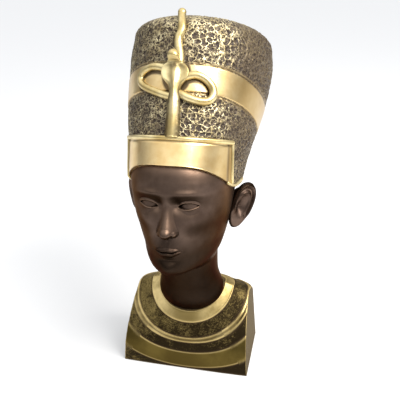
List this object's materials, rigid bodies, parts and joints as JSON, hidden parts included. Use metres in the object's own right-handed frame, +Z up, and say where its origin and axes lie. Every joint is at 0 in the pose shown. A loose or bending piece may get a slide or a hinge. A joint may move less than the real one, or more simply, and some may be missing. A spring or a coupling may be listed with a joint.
{
  "type": "egyptian queen bust",
  "caption": "Bust of an Egyptian queen in a tall flared crown with browband, cobra and broad collar, cast in one piece and cut flat below.",
  "frame": {"origin": "centre of the flat underside of the chest block", "axes": "+Z up, -Y out of the face, +X towards the figure's own left"},
  "size_m": [0.1546, 0.2608, 0.4006],
  "materials": {
    "cast": "dark brown cast, antiqued gold on crown, browband, cobra and collar, satin"
  },
  "bodies": {
    "root": {"bust": "cast"}
  },
  "joints": []
}
